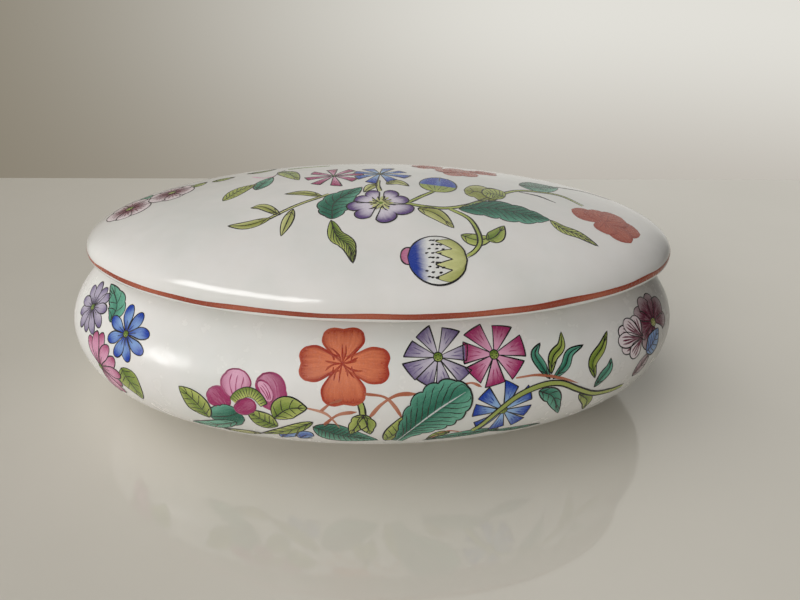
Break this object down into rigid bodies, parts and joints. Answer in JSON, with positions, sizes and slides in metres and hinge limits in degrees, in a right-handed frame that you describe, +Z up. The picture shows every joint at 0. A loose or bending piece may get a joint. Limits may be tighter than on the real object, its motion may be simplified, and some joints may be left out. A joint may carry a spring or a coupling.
{
  "type": "trinket box",
  "caption": "Oval glazed porcelain trinket box: a bulbous base on a low foot ring with a ledge and collar, and a loose domed lid that lifts straight off.",
  "frame": {"origin": "on the table, under the middle of the box", "axes": "+X along the box's length, +Y across it, +Z up, the way the lid lifts"},
  "size_m": [0.181, 0.1064, 0.068],
  "materials": {
    "base_porcelain": "clear glossy glaze over white porcelain, painted with enamel flowers",
    "lid_porcelain": "clear glossy glaze over white porcelain, painted with enamel flowers and a coral-red rim line"
  },
  "bodies": {
    "base": {"box_base": "base_porcelain"},
    "lid": {"lid": "lid_porcelain"}
  },
  "joints": [
    {"name": "lid_lift", "type": "slide", "parent": "base", "child": "lid", "axis": [0, 0, 1], "range_m": [0, 0.09]}
  ]
}
